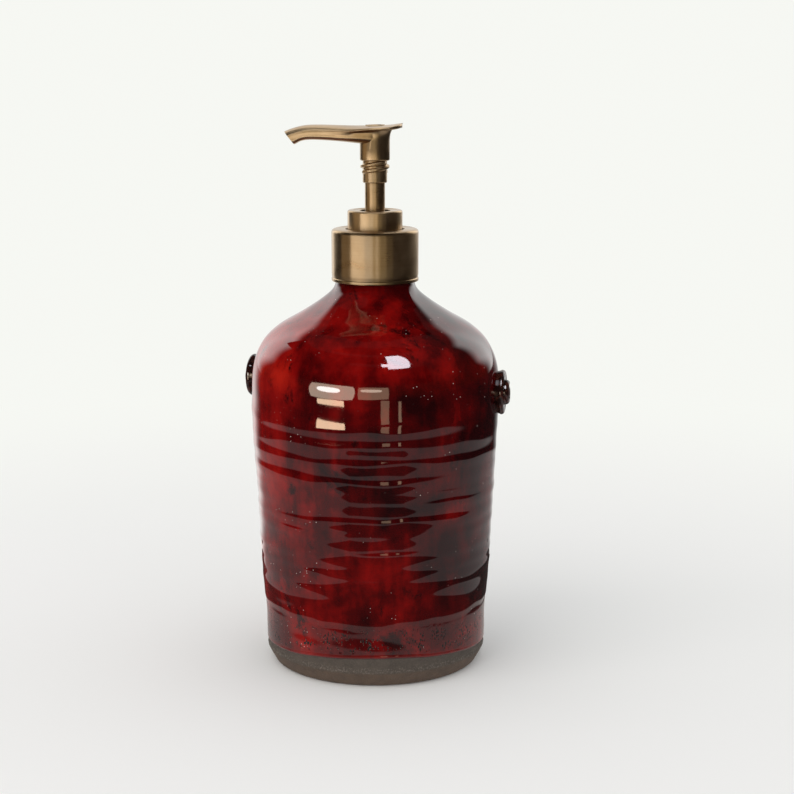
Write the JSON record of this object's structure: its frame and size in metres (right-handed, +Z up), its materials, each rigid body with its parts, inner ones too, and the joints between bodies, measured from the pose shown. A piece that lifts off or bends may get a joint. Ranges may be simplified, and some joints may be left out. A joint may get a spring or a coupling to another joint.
{
  "type": "detergent dispenser bottle",
  "caption": "Refillable detergent dispenser: a glazed stoneware bottle with a screw collar and a metal lotion pump with a swivelling spout.",
  "frame": {"origin": "centre of the foot's resting face, on the bottle's axis", "axes": "+Z up along the bottle and the pump's stem; the spout points along -X at rest; -Y is the front seen in the usual view"},
  "size_m": [0.1034, 0.0952, 0.207],
  "materials": {
    "ruby_glaze": "glossy ruby reduction glaze over dark stoneware, bare at the foot",
    "dark_glaze": "glossy, brown where thin",
    "bronze_plate": "brushed antique bronze plating, satin",
    "natural_plastic": "natural polypropylene",
    "brown_plastic": "brown polypropylene",
    "tube_plastic": "natural polyethylene",
    "seal_foam": "soft sealing foam",
    "adhesive": "clear set epoxy",
    "bright_steel": "stainless steel"
  },
  "bodies": {
    "bottle": {"ceramic_bottle": "ruby_glaze", "left_sprig_disc": "dark_glaze", "left_sprig_coil": "dark_glaze", "right_sprig_disc": "dark_glaze", "right_sprig_coil": "dark_glaze", "neck_insert": "natural_plastic", "adhesive_ring": "adhesive"},
    "pump": {"pump_housing": "natural_plastic", "neck_gasket": "seal_foam", "lock_ring_core": "brown_plastic", "lock_ring_sheath": "bronze_plate", "dip_tube": "tube_plastic", "pump_spring": "bright_steel"},
    "collar": {"collar_sheath": "bronze_plate", "collar_liner": "natural_plastic"},
    "plunger": {"piston_seat": "natural_plastic"},
    "piston_sleeve": {"piston": "tube_plastic"},
    "head": {"head_shell": "bronze_plate", "nozzle_liner": "brown_plastic", "lock_skirt": "bronze_plate", "stem": "brown_plastic", "stem_sheath": "bronze_plate"},
    "valve_ball": {"inlet_ball": "bright_steel"}
  },
  "joints": [
    {"name": "pump_lift", "type": "slide", "parent": "bottle", "child": "pump", "axis": [0, 0, 1], "range_m": [0, 0.16]},
    {"name": "collar_turn", "type": "hinge", "parent": "pump", "child": "collar", "pos_m": [0, 0, 0.158], "axis": [0, 0, 1], "continuous": true},
    {"name": "head_press", "type": "slide", "parent": "pump", "child": "plunger", "axis": [0, 0, -1], "range_m": [0, 0.013], "stiffness_N_per_m": 900, "springref_m": -0.009, "deforming": ["pump_spring"]},
    {"name": "head_turn", "type": "hinge", "parent": "plunger", "child": "head", "pos_m": [0, 0, 0.2], "axis": [0, 0, 1], "continuous": true},
    {"name": "piston_slip", "type": "slide", "parent": "plunger", "child": "piston_sleeve", "axis": [0, 0, 1], "range_m": [0, 0.001]},
    {"name": "ball_lift", "type": "slide", "parent": "pump", "child": "valve_ball", "axis": [0, 0, 1], "range_m": [0, 0.0018]}
  ]
}
